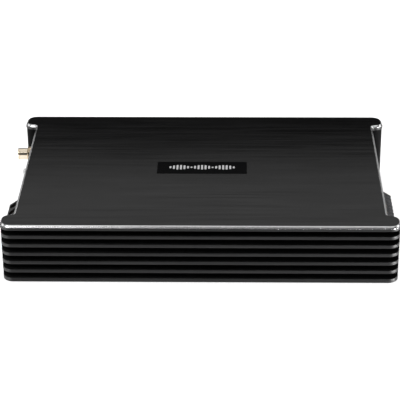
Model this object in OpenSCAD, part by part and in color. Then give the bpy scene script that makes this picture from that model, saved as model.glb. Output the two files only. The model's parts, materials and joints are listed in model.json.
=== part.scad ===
// Car amplifier: a finned aluminium shell with a dog-bone outline, recessed end panels,
// signal and power connectors on the left end, speaker plug, fuses and switch on the right end.
// Millimetres. Origin at the middle of the underside, +X to the right end, -Y the front fins, +Z up.

/* [Shell] */
// Overall width over the corner lobes
body_w = 260; // [240:1:300]
// Overall depth over the fins
body_d = 172; // [168:1:200]
// Overall height
body_h = 41.5; // [41.5:0.5:46]
// How far each end panel side sits in from the lobes
recess = 8; // [8:0.5:10]
// Length of each corner lobe along the depth
lobe_len = 17; // [17:0.5:20]
// Plan radius of the outer corners
corner_r = 7.5; // [7:0.5:8]
// Plan radius of the lobe's inner corner
lobe_r = 6; // [5:0.5:6]
// Bright bevel round the top edge
edge_bevel = 1.4; // [1:0.1:1.6]

/* [Fins] */
// How far the top plate stands out over the fins
lip = 0.5; // [0.2:0.1:0.6]
// Height of each groove between fins
groove_h = 3.9; // [3.5:0.1:4]
// Distance from one groove to the next
fin_pitch = 6.25; // [6:0.05:6.25]
// Depth of the grooves
groove_depth = 8; // [6:0.5:8]
// Thickness of the lowest fin
base_fin = 2.9; // [2.7:0.1:3.3]

/* [Panels] */
// Thickness of the end panels and the base cover
sheet_t = 2; // [2:0.1:2.1]
// How far a panel's outer face sits in from the top plate's edge
panel_inset = 1; // [0.5:0.5:1]

/* [Badge] */
// Width of the badge
badge_w = 61.5; // [50:0.5:70]
// Depth of the badge
badge_d = 18; // [14:0.5:20]

/* [Terminals] */
// Pole pitch of the power terminal
power_pitch = 9.5; // [9.5:0.1:9.5]
// Pole pitch of the speaker plug
plug_pitch = 5.08; // [5:0.01:5.08]
// Poles of the speaker plug
plug_poles = 8; // [4:1:8]

/* [Hidden] */

eps = 0.01;
groove_count = 6;
lip_low = base_fin + (groove_count - 1) * fin_pitch + groove_h;
fit_gap = 0.1;
top_t = 3.4;
top_under = body_h - top_t;
end_x = body_w / 2 - recess;
panel_out = end_x - panel_inset;
panel_in = panel_out - sheet_t;
wall_in = body_d / 2 - lobe_len;
cover_half_d = wall_in - 0.2;

// Screw rails inside the shell
rail_w = 9;
rail_y = wall_in - rail_w / 2;
low_rail_top = 12;
high_rail_low = 29;
low_screw_z = 7.5;
high_screw_z = 33.5;
tap_r = 1.35;
m3_shank_r = 1.25;
m3_head_r = 2.7;
tap_depth = 10;
cover_screw_x = [-100, -34, 34, 100];

// Blind fixing holes in the underside rails
fix_x = 110;
fix_y = body_d / 2 - groove_depth - 4.5;
fix_r = 2.1;
fix_depth = 9;

// Circuit board
board_z = 8;
board_t = 1.6;
board_top = board_z + board_t;
board_half_w = 105;
board_half_d = 57;
standoff_xy = [for (x = [-92, 0, 92]) for (y = [-50, 50]) [x, y]];

// Left end connectors: [place along Y, height of the axis]
rca_at = [46.5, 29.5];
knob_at = [24, 25];
port_y = 5;
header_y = -15;
shaft_r = 1.5;
knob_r = 3.5;

// Power terminal
power_poles = 3;
power_y0 = -wall_in + 2.2;
power_len = power_poles * power_pitch;
block_low = 12;
block_high = 37.3;
block_out_high = 32.2;
power_reach = 7.5;
clamp_x = panel_out + 3.6;
screw_seat = 27;
power_inner = [power_y0 + 7.6, power_y0 + power_len - 0.6];
entry_z = [15, 22.6];
entry_w = 7.6;

// Speaker plug
plug_reach = 6;
plug_len = plug_poles * plug_pitch;
plug_y0 = -wall_in + 2.1;
plug_slope = atan((block_high - 33) / plug_reach);
tongue_y = [plug_y0 + 9, plug_y0 + plug_len - 1.6];
tongue_z = [17.2, 30.8];

// Fuses: [place along Y]
fuse_y = [16, 40];
fuse_z = 16;
fuse_half_w = 9.5;
fuse_half_t = 2.5;

// Mode switch
switch_y = -8;
switch_z = 16;

// Heat transfer: transistors stand against the inner faces of the finned walls
transistor_x = [for (i = [0:5]) -75 + 30 * i];
clamp_z = 24;
pad_t = 0.5;
tab_t = 4.4;
bar_t = 3;

$fn = 48;

// ---------- outline ----------

// Centres of the outer corner arcs and of the lobes' inner corner arcs
corner_at = [body_w / 2 - corner_r, body_d / 2 - corner_r];
lobe_at = [body_w / 2 - lobe_r, wall_in + lobe_r];

// Section of a slab from a to b along the section's first axis, bevelled at its b end
function edge_section(a, b, z0, z1, bevel) = bevel > 0
    ? [[a, z0], [b, z0], [b, z1 - bevel], [b - bevel, z1], [a, z1]]
    : [[a, z0], [b, z0], [b, z1], [a, z1]];

// Section from the middle out to a half width
function half_section(half_w, z0, z1, bevel) = bevel > 0
    ? [[-half_w, z0], [half_w, z0], [half_w, z1 - bevel], [half_w - bevel, z1],
        [-half_w + bevel, z1], [-half_w, z1 - bevel]]
    : [[-half_w, z0], [half_w, z0], [half_w, z1], [-half_w, z1]];

// Bar along X, its section given in Y and Z
module bar_x(half_l, section) {
    translate([-half_l, 0, 0]) rotate([90, 0, 90]) linear_extrude(2 * half_l) polygon(section);
}

// Bar along Y from y0 to y1, its section given in X and Z
module bar_y(y0, y1, section) {
    translate([0, y1, 0]) rotate([90, 0, 0]) linear_extrude(y1 - y0) polygon(section);
}

// Round post with a bevelled top edge
module post(r, z0, z1, bevel) {
    translate([0, 0, z0]) cylinder(r = r, h = z1 - z0 - bevel);
    if (bevel > 0)
        translate([0, 0, z1 - bevel]) cylinder(r1 = r, r2 = r - bevel, h = bevel);
}

// Slab with the dog-bone outline set in by k all round, from the height z0 to z1
module slab(k, z0, z1, bevel) {
    for (x = [-1, 1])
        for (y = [-1, 1]) {
            translate([x * corner_at[0], y * corner_at[1], 0]) post(corner_r - k, z0, z1, bevel);
            translate([x * lobe_at[0], y * lobe_at[1], 0]) post(lobe_r - k, z0, z1, bevel);
        }
    front_and_rear() {
        bar_x(corner_at[0], edge_section(lobe_at[1], body_d / 2 - k, z0, z1, bevel));
        bar_x(lobe_at[0], [for (p = edge_section(-corner_at[1], -wall_in - k, z0, z1, bevel)) [-p[0], p[1]]]);
        bar_y(lobe_at[1], corner_at[1], half_section(body_w / 2 - k, z0, z1, bevel));
    }
    bar_y(-corner_at[1], corner_at[1], half_section(end_x - k, z0, z1, bevel));
}

// ---------- helpers ----------

// Box from two corners
module box(lo, hi) {
    translate(lo) cube(hi - lo);
}

// Cylinder along X from x0 to x1
module rod_x(x0, x1, y, z, r) {
    translate([x0, y, z]) rotate([0, 90, 0]) cylinder(r = r, h = x1 - x0);
}

// Both ends: children on the right end, then mirrored to the left
module both_ends() {
    children();
    mirror([1, 0, 0]) children();
}

// Front and rear: children at the rear, then mirrored to the front
module front_and_rear() {
    children();
    mirror([0, 1, 0]) children();
}

// Cross-recessed pan-head screw along -Z, its head standing on z = 0
module pan_screw(head_r, head_h, shank_r, shank_l) {
    difference() {
        union() {
            cylinder(r = head_r, h = head_h);
            translate([0, 0, -shank_l]) cylinder(r = shank_r, h = shank_l + eps);
        }
        for (a = [0, 90])
            rotate([0, 0, a])
                translate([-head_r * 0.6, -0.3, head_h * 0.45]) cube([head_r * 1.2, 0.6, head_h]);
    }
}

// ---------- shell and covers ----------

// Thickening of the rear wall, from the height z0 to z1
module wall_pad(half_w, z0, z1) {
    box([-half_w, wall_in - rail_w, z0], [half_w, wall_in + 1, z1]);
}

module heatsink_shell() {
    color("#1b1b1d")
    difference() {
        union() {
            difference() {
                union() {
                    slab(lip, 0, lip_low, 0);
                    slab(0, lip_low, body_h, edge_bevel);
                }
                for (i = [0:groove_count - 1])
                    front_and_rear()
                        box([-body_w, body_d / 2 - groove_depth, base_fin + i * fin_pitch],
                            [body_w, body_d, base_fin + i * fin_pitch + groove_h]);
                box([-body_w, -wall_in, -1], [body_w, wall_in, top_under]);
            }
            front_and_rear() {
                wall_pad(panel_in - fit_gap, sheet_t, low_rail_top);
                wall_pad(panel_in - fit_gap, high_rail_low, top_under + 1);
                wall_pad(90, sheet_t, top_under + 1);
            }
        }
        box([-badge_w / 2, -badge_d / 2, body_h - 0.8], [badge_w / 2, badge_d / 2, body_h + 1]);
        both_ends() front_and_rear() {
            rod_x(panel_in - tap_depth, panel_in + 1, rail_y, low_screw_z, tap_r);
            rod_x(panel_in - tap_depth, panel_in + 1, rail_y, high_screw_z, tap_r);
            translate([fix_x, fix_y, -eps]) cylinder(r = fix_r, h = fix_depth);
        }
        front_and_rear() {
            for (x = cover_screw_x)
                translate([x, rail_y, 0]) cylinder(r = tap_r, h = tap_depth);
            for (x = transistor_x)
                translate([x, wall_in - rail_w - 1, clamp_z]) rotate([-90, 0, 0]) cylinder(r = tap_r, h = 9);
        }
    }
}

module base_cover() {
    color("#232325")
    difference() {
        box([-panel_out, -cover_half_d, 0], [panel_out, cover_half_d, sheet_t]);
        front_and_rear()
            for (x = cover_screw_x)
                translate([x, rail_y, -eps]) {
                    cylinder(r = 1.6, h = 3);
                    cylinder(r1 = 3.2, r2 = 1.6, h = 1.6);
                }
        for (p = standoff_xy)
            translate([p[0], p[1], -eps]) {
                cylinder(r = 1.6, h = 3);
                cylinder(r1 = 3.2, r2 = 1.6, h = 1.6);
            }
        for (i = [-4:4])
            for (y = [-22, 22])
                box([i * 16 - 5, y - 1.25, -1], [i * 16 + 5, y + 1.25, 3]);
    }
}

// A plain end panel on the right, before its cut-outs
module panel_blank() {
    difference() {
        box([panel_in, -cover_half_d, sheet_t], [panel_out, cover_half_d, top_under - fit_gap]);
        rod_x(panel_in - 1, panel_out + 1, -rail_y, low_screw_z, 1.6);
        rod_x(panel_in - 1, panel_out + 1, rail_y, low_screw_z, 1.6);
        rod_x(panel_in - 1, panel_out + 1, rail_y, high_screw_z, 1.6);
    }
}

module left_end_panel() {
    color("#1e1e20")
    difference() {
        mirror([1, 0, 0]) panel_blank();
        rod_x(-panel_out - 1, -panel_in + 1, rca_at[0], rca_at[1], 4.23);
        rod_x(-panel_out - 1, -panel_in + 1, knob_at[0], knob_at[1], 2.2);
        box([-panel_out - 1, port_y - 7.1, board_top - 0.1], [-panel_in + 1, port_y + 7.1, 24.1]);
        box([-panel_out - 1, header_y - 10.6, board_top - 0.1], [-panel_in + 1, header_y + 10.6, 25.1]);
        box([-panel_out - 1, power_inner[0] - 0.1, block_low - 0.1],
            [-panel_in + 1, power_inner[1] + 0.1, 30.1]);
    }
}

module right_end_panel() {
    color("#1e1e20")
    difference() {
        panel_blank();
        box([panel_in - 1, tongue_y[0] - 0.4, tongue_z[0] - 0.4],
            [panel_out + 1, tongue_y[1] + 0.4, tongue_z[1] + 0.4]);
        for (y = fuse_y)
            box([panel_in - 1, y - fuse_half_w - 0.4, fuse_z - fuse_half_t - 0.4],
                [panel_out + 1, y + fuse_half_w + 0.4, fuse_z + fuse_half_t + 0.4]);
        box([panel_in - 1, switch_y - 3.6, switch_z - 1.7], [panel_out + 1, switch_y + 3.6, switch_z + 1.7]);
        rod_x(panel_in - 1, panel_out + 1, 56, 26, 1.6);
    }
}

module badge_inlay() {
    color("#0a0a0b")
    box([-badge_w / 2 + 0.05, -badge_d / 2 + 0.05, body_h - 0.8],
        [badge_w / 2 - 0.05, badge_d / 2 - 0.05, body_h + 0.2]);
}

// A plain row of level bars, tallest in the middle of each half wave
module badge_emblem() {
    bars = 19;
    span = 46;
    color("#e8e8ea")
    for (i = [0:bars - 1]) {
        tall = 1.6 + 5.4 * abs(sin(180 * (i + 0.5) / bars * 3));
        x = -span / 2 + span * (i + 0.5) / bars;
        box([x - 0.7, -tall / 2, body_h + 0.2], [x + 0.7, tall / 2, body_h + 0.45]);
    }
}

// ---------- boards and fasteners ----------

module main_board() {
    color("#14432a")
    difference() {
        box([-board_half_w, -board_half_d, board_z], [board_half_w, board_half_d, board_top]);
        for (p = standoff_xy)
            translate([p[0], p[1], board_z - 1]) cylinder(r = 1.6, h = board_t + 2);
    }
}

module board_standoffs() {
    color("#c9a45a")
    for (p = standoff_xy)
        translate([p[0], p[1], sheet_t])
            difference() {
                cylinder(r = 3, h = board_z - sheet_t);
                translate([0, 0, -1]) cylinder(r = tap_r, h = board_z);
            }
}

module board_screws() {
    color("#b8b8bc")
    for (p = standoff_xy)
        translate([p[0], p[1], board_top]) pan_screw(m3_head_r, 2, m3_shank_r, 4);
}

// Screws of one end panel, on the right end
module panel_screws() {
    for (at = [[-rail_y, low_screw_z], [rail_y, low_screw_z], [rail_y, high_screw_z]])
        translate([panel_out, at[0], at[1]])
            rotate([0, 90, 0]) pan_screw(m3_head_r, 1.8, m3_shank_r, 9);
}

module left_panel_screws() {
    color("#2b2b2e") mirror([1, 0, 0]) panel_screws();
}

module right_panel_screws() {
    color("#2b2b2e") panel_screws();
}

// Countersunk screw from below, its head flush with z = 0.1
module flush_screw(length) {
    difference() {
        union() {
            cylinder(r1 = 2.9, r2 = m3_shank_r, h = 1.6);
            cylinder(r = m3_shank_r, h = length);
        }
        for (a = [0, 90])
            rotate([0, 0, a]) translate([-1.5, -0.3, -1]) cube([3, 0.6, 1.7]);
    }
}

module base_screws() {
    color("#2b2b2e") {
        front_and_rear()
            for (x = cover_screw_x)
                translate([x, rail_y, 0.1]) flush_screw(9);
        for (p = standoff_xy)
            translate([p[0], p[1], 0.1]) flush_screw(5);
    }
}

// ---------- left end: signal input ----------

module rca_body() {
    color("#111113")
    difference() {
        box([-panel_in, rca_at[0] - 6.5, board_top], [-board_half_w + 2, rca_at[0] + 6.5, 36.5]);
        rod_x(-panel_in - 1, -panel_in + 8, rca_at[0], rca_at[1], 3.95);
    }
}

module rca_collar() {
    color("#b89a66")
    translate([-panel_out, rca_at[0], rca_at[1]]) rotate([0, -90, 0])
        difference() {
            union() {
                cylinder(r = 5.9, h = 2.6, $fn = 6);
                cylinder(r = 5.4, h = 5);
            }
            translate([0, 0, -1]) cylinder(r = 3.95, h = 8);
        }
}

// Moves children to the inner end of the signal jack, their +Z out of the left end
module at_jack() {
    translate([-panel_in + 6, rca_at[0], rca_at[1]]) rotate([0, -90, 0]) children();
}

module rca_shell() {
    color("#d8bd86")
    at_jack()
        difference() {
            union() {
                cylinder(r = 3.9, h = 14);
                translate([0, 0, 13]) cylinder(r = 4.15, h = 7);
            }
            translate([0, 0, -1]) cylinder(r = 3.3, h = 23);
        }
}

module rca_insulator() {
    color("#f0efe9")
    at_jack()
        difference() {
            cylinder(r = 3.25, h = 19.4);
            translate([0, 0, -1]) cylinder(r = 2.15, h = 23);
        }
}

module rca_contact() {
    color("#d8bd86")
    at_jack()
        difference() {
            cylinder(r = 2.1, h = 19.6);
            translate([0, 0, 13.1]) cylinder(r = 1.65, h = 9);
        }
}

module level_pot() {
    color("#2f5a86")
    difference() {
        box([-panel_in, knob_at[0] - 5, board_top], [-board_half_w + 4, knob_at[0] + 5, 33]);
        rod_x(-panel_in - 1, -panel_in + 8, knob_at[0], knob_at[1], shaft_r + 0.06);
    }
}

module level_shaft() {
    color("#b8b8bc") rod_x(-panel_out - 5, -panel_in + 7, knob_at[0], knob_at[1], shaft_r);
}

module level_knob() {
    color("#d4d4d2")
    translate([-panel_out - 0.6, knob_at[0], knob_at[1]]) rotate([0, -90, 0])
        difference() {
            union() {
                cylinder(r = knob_r, h = 4.6);
                translate([0, 0, 4.6]) cylinder(r1 = knob_r, r2 = knob_r - 0.5, h = 0.6);
            }
            translate([0, 0, -1]) cylinder(r = shaft_r + 0.02, h = 5.4);
            for (a = [0:20:340])
                rotate([0, 0, a]) translate([knob_r + 0.15, 0, 1]) cylinder(r = 0.35, h = 6);
            translate([-0.35, 0.8, 4.7]) cube([0.7, 3, 1]);
        }
}

module control_port() {
    color("#151517")
    difference() {
        box([-panel_out, port_y - 7, board_top], [-board_half_w - 1, port_y + 7, 24]);
        box([-panel_out - 1, port_y - 5.9, 14.5], [-panel_out + 11.5, port_y + 5.9, 21.5]);
        box([-panel_out - 1, port_y - 3.2, 12.2], [-panel_out + 8, port_y + 3.2, 15]);
    }
}

module port_contacts() {
    color("#d9b65c")
    for (i = [0:5])
        box([-panel_out + 2, port_y - 2.7 + i * 1.02, 21],
            [-panel_out + 11.5, port_y - 2.3 + i * 1.02, 21.5]);
}

module signal_header() {
    color("#151517")
    difference() {
        box([-panel_out, header_y - 10.5, board_top], [-board_half_w - 1, header_y + 10.5, 25]);
        box([-panel_out - 1, header_y - 9, 13], [-panel_out + 9, header_y + 9, 22.5]);
        box([-panel_out - 1, header_y - 2.5, 22], [-panel_out + 6, header_y + 2.5, 24]);
    }
}

module signal_pins() {
    color("#d9d9dc")
    for (i = [-1.5:1:1.5])
        for (z = [15.7, 19.9])
            rod_x(-panel_out + 4.6, -panel_out + 9, header_y + i * 4.2, z, 0.6);
}

// ---------- left end: power input ----------

// Profile of a terminal's outer part in X and Z, for the right end, reach out from the panel
function terminal_profile(reach, out_high, grow = 0) = [
    [panel_out, block_low - grow], [panel_out + reach + grow, block_low - grow],
    [panel_out + reach + grow, out_high + grow], [panel_out, block_high + grow]
];

// The profile as a solid from y0 to y1
module terminal_bar(reach, out_high, y0, y1, grow = 0) {
    translate([0, y1, 0]) rotate([90, 0, 0])
        linear_extrude(y1 - y0) polygon(terminal_profile(reach, out_high, grow));
}

// Place of the power pole i, on the axis of its screw
function power_pole(i) = [-clamp_x, power_y0 + (i + 0.5) * power_pitch, 0];

module power_block() {
    color("#1b1a17")
    difference() {
        union() {
            mirror([1, 0, 0]) terminal_bar(power_reach, block_out_high, power_y0, power_y0 + power_len);
            box([-panel_out - 1, power_inner[0], block_low], [-board_half_w - 1, power_inner[1], 30]);
        }
        for (i = [0:power_poles - 1])
            translate(power_pole(i)) {
                box([-power_reach, -entry_w / 2, entry_z[0]], [4.1, entry_w / 2, entry_z[1]]);
                translate([0, 0, screw_seat]) cylinder(r = 3.1, h = 20);
                translate([0, 0, entry_z[1] - 1]) cylinder(r = 1.4, h = 10);
            }
    }
}

module power_clamps() {
    color("#c8c8cc")
    for (i = [0:power_poles - 1])
        translate(power_pole(i))
            difference() {
                box([-2.8, -entry_w / 2, entry_z[0]], [3.4, entry_w / 2, entry_z[1]]);
                box([-4, -3, entry_z[0] + 0.8], [2.6, 3, entry_z[1] - 1.4]);
                translate([0, 0, entry_z[0] + 2]) cylinder(r = 1.4, h = 10);
            }
}

// Slotted clamp screw of power pole i
module power_screw(i) {
    color("#c9a45a")
    translate(power_pole(i))
        difference() {
            union() {
                translate([0, 0, screw_seat]) cylinder(r = 2.8, h = 3);
                translate([0, 0, 20.4]) cylinder(r = 1.3, h = 8);
            }
            box([-3, -0.4, screw_seat + 1.8], [3, 0.4, screw_seat + 4]);
        }
}

// ---------- right end: speaker plug ----------

module speaker_header() {
    color("#151517")
    difference() {
        box([board_half_w + 1, tongue_y[0] - 1.4, board_top], [panel_in, tongue_y[1] + 1.4, 33]);
        box([board_half_w + 4, tongue_y[0] - 0.3, tongue_z[0] - 0.3],
            [panel_in + 1, tongue_y[1] + 0.3, tongue_z[1] + 0.3]);
    }
}

module speaker_pins() {
    color("#d9d9dc")
    for (i = [1:plug_poles - 3])
        rod_x(board_half_w + 4, board_half_w + 10, tongue_y[0] + i * plug_pitch - 1.2, 24, 0.6);
}

module speaker_plug() {
    color("#222225")
    difference() {
        union() {
            translate([fit_gap, 0, 0]) {
                terminal_bar(plug_reach, 33, plug_y0, plug_y0 + plug_len);
                for (i = [0:plug_poles])
                    terminal_bar(plug_reach, 33, max(plug_y0, plug_y0 + i * plug_pitch - 0.5),
                        min(plug_y0 + plug_len, plug_y0 + i * plug_pitch + 0.5), 0.7);
            }
            box([board_half_w + 5, tongue_y[0], tongue_z[0]], [panel_out + 1, tongue_y[1], tongue_z[1]]);
        }
        for (i = [0:plug_poles - 1]) {
            y = plug_y0 + (i + 0.5) * plug_pitch;
            box([panel_out + 1.5, y - 1.75, 17], [panel_out + plug_reach + 2, y + 1.75, 21.5]);
            at_plug_pole(i) translate([0, 0, -3]) cylinder(r = 1.75, h = 5, $fn = 32);
        }
        for (i = [1:plug_poles - 3])
            rod_x(board_half_w + 4, board_half_w + 11, tongue_y[0] + i * plug_pitch - 1.2, 24, 0.68);
    }
}

// Moves children to the middle of the plug's slope at pole i, their +Z out of the slope
module at_plug_pole(i) {
    translate([panel_out + fit_gap + plug_reach / 2, plug_y0 + (i + 0.5) * plug_pitch, (block_high + 33) / 2])
        rotate([0, plug_slope, 0]) children();
}

module speaker_plug_screws() {
    color("#c9a45a")
    for (i = [0:plug_poles - 1])
        at_plug_pole(i)
            difference() {
                translate([0, 0, -3]) cylinder(r = 1.65, h = 2, $fn = 32);
                translate([-2, -0.25, -1.7]) cube([4, 0.5, 2]);
            }
}

// ---------- right end: fuses, switch and lamp ----------

module fuse_holder() {
    color("#151517")
    difference() {
        box([board_half_w - 6, fuse_y[0] - 12, board_top], [panel_in, fuse_y[1] + 12, 22.5]);
        for (y = fuse_y) {
            box([panel_in - 9, y - fuse_half_w - 0.3, fuse_z - fuse_half_t - 0.3],
                [panel_in + 1, y + fuse_half_w + 0.3, fuse_z + fuse_half_t + 0.3]);
            for (s = [-1, 1])
                box([panel_in - 18, y + s * 6.6 - 2.9, fuse_z - 0.7],
                    [panel_in - 8, y + s * 6.6 + 2.9, fuse_z + 0.7]);
        }
    }
}

module fuse_cap(y, shade) {
    color(shade)
    difference() {
        box([panel_in - 8.5, y - fuse_half_w, fuse_z - fuse_half_t],
            [panel_out + 1, y + fuse_half_w, fuse_z + fuse_half_t]);
        box([panel_out + 0.3, y - 5, fuse_z - 1.2], [panel_out + 2, y + 5, fuse_z + 1.2]);
    }
}

module fuse_blades(y) {
    color("#c8c8cc")
    for (s = [-1, 1])
        box([panel_in - 17.5, y + s * 6.6 - 2.6, fuse_z - 0.4],
            [panel_in - 8.5, y + s * 6.6 + 2.6, fuse_z + 0.4]);
}

module mode_switch() {
    color("#8d9096")
    difference() {
        box([board_half_w + 5, switch_y - 5, board_top], [panel_in, switch_y + 5, 20.5]);
        box([panel_in - 1.8, switch_y - 3.7, switch_z - 1.8], [panel_in + 1, switch_y + 3.7, switch_z + 1.8]);
    }
}

module mode_slider() {
    color("#e6e6e2")
    difference() {
        box([panel_in - 1.6, switch_y - 1.4, switch_z - 1.5],
            [panel_out + 0.9, switch_y + 1.4, switch_z + 1.5]);
        for (d = [-0.7, 0, 0.7])
            box([panel_out + 0.5, switch_y + d - 0.12, switch_z - 2],
                [panel_out + 2, switch_y + d + 0.12, switch_z + 2]);
    }
}

module power_lamp() {
    color("#3f7fe0") {
        rod_x(board_half_w + 8, panel_out + 0.4, 56, 26, 1.5);
    }
}

// ---------- inside ----------

transformer_xy = [-52, 12];
core_r = [11, 19];
core_z = [13, 25];

module transformer_core() {
    color("#3a3f3a")
    translate([transformer_xy[0], transformer_xy[1], core_z[0]])
        difference() {
            cylinder(r = core_r[1], h = core_z[1] - core_z[0]);
            translate([0, 0, -1]) cylinder(r = core_r[0], h = 20);
        }
}

module transformer_winding() {
    color("#b8692e")
    for (a = [0:15:345])
        translate([transformer_xy[0], transformer_xy[1], 0]) rotate([0, 0, a])
            difference() {
                box([core_r[0] - 1.4, -0.7, core_z[0] - 1.4], [core_r[1] + 1.4, 0.7, core_z[1] + 1.4]);
                box([core_r[0] - 0.1, -2, core_z[0] - 0.1], [core_r[1] + 0.1, 2, core_z[1] + 0.1]);
            }
}

module filter_capacitors() {
    color("#24283a")
    for (x = [-12, 8, 28, 48])
        for (y = [-16, 6])
            translate([x, y, board_top])
                difference() {
                    cylinder(r = 8, h = 24);
                    for (a = [0, 120, 240])
                        rotate([0, 0, a]) translate([0, -0.3, 23.5]) cube([5, 0.6, 1]);
                }
}

module output_inductors() {
    color("#4a4c50")
    for (i = [0:3])
        box([72, -50 + i * 14, board_top], [84, -40 + i * 14, board_top + 11]);
}

// Row of power transistors against the rear wall, standing on the board
module transistor_row() {
    for (x = transistor_x)
        difference() {
            box([x - 5, wall_in - rail_w - pad_t - tab_t, board_top + 2],
                [x + 5, wall_in - rail_w - pad_t, 27]);
            translate([x, wall_in - rail_w, clamp_z]) rotate([90, 0, 0]) cylinder(r = 1.6, h = 8);
        }
}

module rear_transistors() {
    color("#2a2a2c") transistor_row();
}

module front_transistors() {
    color("#2a2a2c") mirror([0, 1, 0]) transistor_row();
}

module thermal_pad() {
    difference() {
        box([-85, wall_in - rail_w - pad_t, board_top + 2.5], [85, wall_in - rail_w, high_rail_low + 2]);
        for (x = transistor_x)
            translate([x, wall_in - rail_w + 1, clamp_z]) rotate([90, 0, 0]) cylinder(r = 1.6, h = 3);
    }
}

module rear_thermal_pad() {
    color("#8fb0c4") thermal_pad();
}

module front_thermal_pad() {
    color("#8fb0c4") mirror([0, 1, 0]) thermal_pad();
}

module clamp_bar() {
    difference() {
        box([-85, wall_in - rail_w - pad_t - tab_t - bar_t, 20], [85, wall_in - rail_w - pad_t - tab_t, 28]);
        for (x = transistor_x)
            translate([x, wall_in - rail_w, clamp_z]) rotate([90, 0, 0]) cylinder(r = 1.6, h = 20);
    }
}

module rear_clamp_bar() {
    color("#9a9ca0") clamp_bar();
}

module front_clamp_bar() {
    color("#9a9ca0") mirror([0, 1, 0]) clamp_bar();
}

module clamp_screws() {
    color("#2b2b2e")
    front_and_rear()
        for (x = transistor_x)
            translate([x, wall_in - rail_w - pad_t - tab_t - bar_t, clamp_z])
                rotate([90, 0, 0]) pan_screw(m3_head_r, 2, m3_shank_r, 15);
}

module board_link() {
    color("#151517")
    box([-98, -30, board_top], [-72, -26, board_top + 8]);
}

module processor_board() {
    color("#123a55")
    box([-100, -34, board_top + 8], [-70, -8, board_top + 9.4]);
}

module processor_chip() {
    color("#101012")
    box([-91, -26, board_top + 9.4], [-79, -14, board_top + 11]);
}

heatsink_shell();
base_cover();
left_end_panel();
right_end_panel();
badge_inlay();
badge_emblem();
main_board();
board_standoffs();
board_screws();
left_panel_screws();
right_panel_screws();
base_screws();
rca_body();
rca_collar();
rca_shell();
rca_insulator();
rca_contact();
level_pot();
level_shaft();
level_knob();
control_port();
port_contacts();
signal_header();
signal_pins();
power_block();
power_clamps();
power_screw(0);  // power_screw_1
power_screw(1);  // power_screw_2
power_screw(2);  // power_screw_3
speaker_header();
speaker_pins();
speaker_plug();
speaker_plug_screws();
fuse_holder();
fuse_cap(fuse_y[0], "#d08a1e");  // fuse_1_cap
fuse_blades(fuse_y[0]);  // fuse_1_blades
fuse_cap(fuse_y[1], "#d08a1e");  // fuse_2_cap
fuse_blades(fuse_y[1]);  // fuse_2_blades
mode_switch();
mode_slider();
power_lamp();
transformer_core();
transformer_winding();
filter_capacitors();
output_inductors();
front_transistors();
rear_transistors();
front_thermal_pad();
rear_thermal_pad();
front_clamp_bar();
rear_clamp_bar();
clamp_screws();
processor_board();
processor_chip();
board_link();
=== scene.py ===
"""Looks of a compact car amplifier: a finned, brushed, black anodised shell with a bright bevelled edge,
its connectors, switch, fuses and everything inside the casing."""

from __future__ import annotations

import json
import logging
import math
from dataclasses import dataclass, field
from enum import Enum
from typing import Callable, Iterable, Sequence

import bmesh
import bpy
from mathutils import Matrix, Vector
from mathutils.geometry import tessellate_polygon


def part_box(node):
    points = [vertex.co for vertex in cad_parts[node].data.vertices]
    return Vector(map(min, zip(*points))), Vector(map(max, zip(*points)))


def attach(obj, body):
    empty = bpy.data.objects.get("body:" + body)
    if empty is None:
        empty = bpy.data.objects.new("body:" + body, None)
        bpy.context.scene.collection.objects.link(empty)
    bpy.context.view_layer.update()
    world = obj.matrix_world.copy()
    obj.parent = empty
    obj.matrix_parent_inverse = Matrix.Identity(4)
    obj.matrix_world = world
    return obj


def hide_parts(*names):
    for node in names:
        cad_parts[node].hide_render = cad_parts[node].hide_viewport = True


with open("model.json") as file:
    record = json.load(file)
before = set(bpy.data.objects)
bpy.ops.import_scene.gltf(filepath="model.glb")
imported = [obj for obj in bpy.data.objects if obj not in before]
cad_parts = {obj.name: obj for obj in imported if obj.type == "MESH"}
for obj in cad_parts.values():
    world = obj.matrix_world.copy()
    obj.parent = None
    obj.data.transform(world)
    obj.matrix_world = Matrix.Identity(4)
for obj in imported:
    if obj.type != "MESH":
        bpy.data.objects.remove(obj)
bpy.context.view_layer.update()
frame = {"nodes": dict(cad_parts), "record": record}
MM = 0.001
LOG = logging.getLogger("amplifier")

Point2 = tuple[float, float]
Colour = tuple[float, float, float]


# ---------------------------------------------------------------- node groups


class Effect(Enum):
    """Surface effects that several finishes share."""

    BRUSHED = "brushed_lines"
    GRAIN = "fine_grain"
    HANDLING = "handling_marks"
    DUST = "settled_dust"


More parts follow.
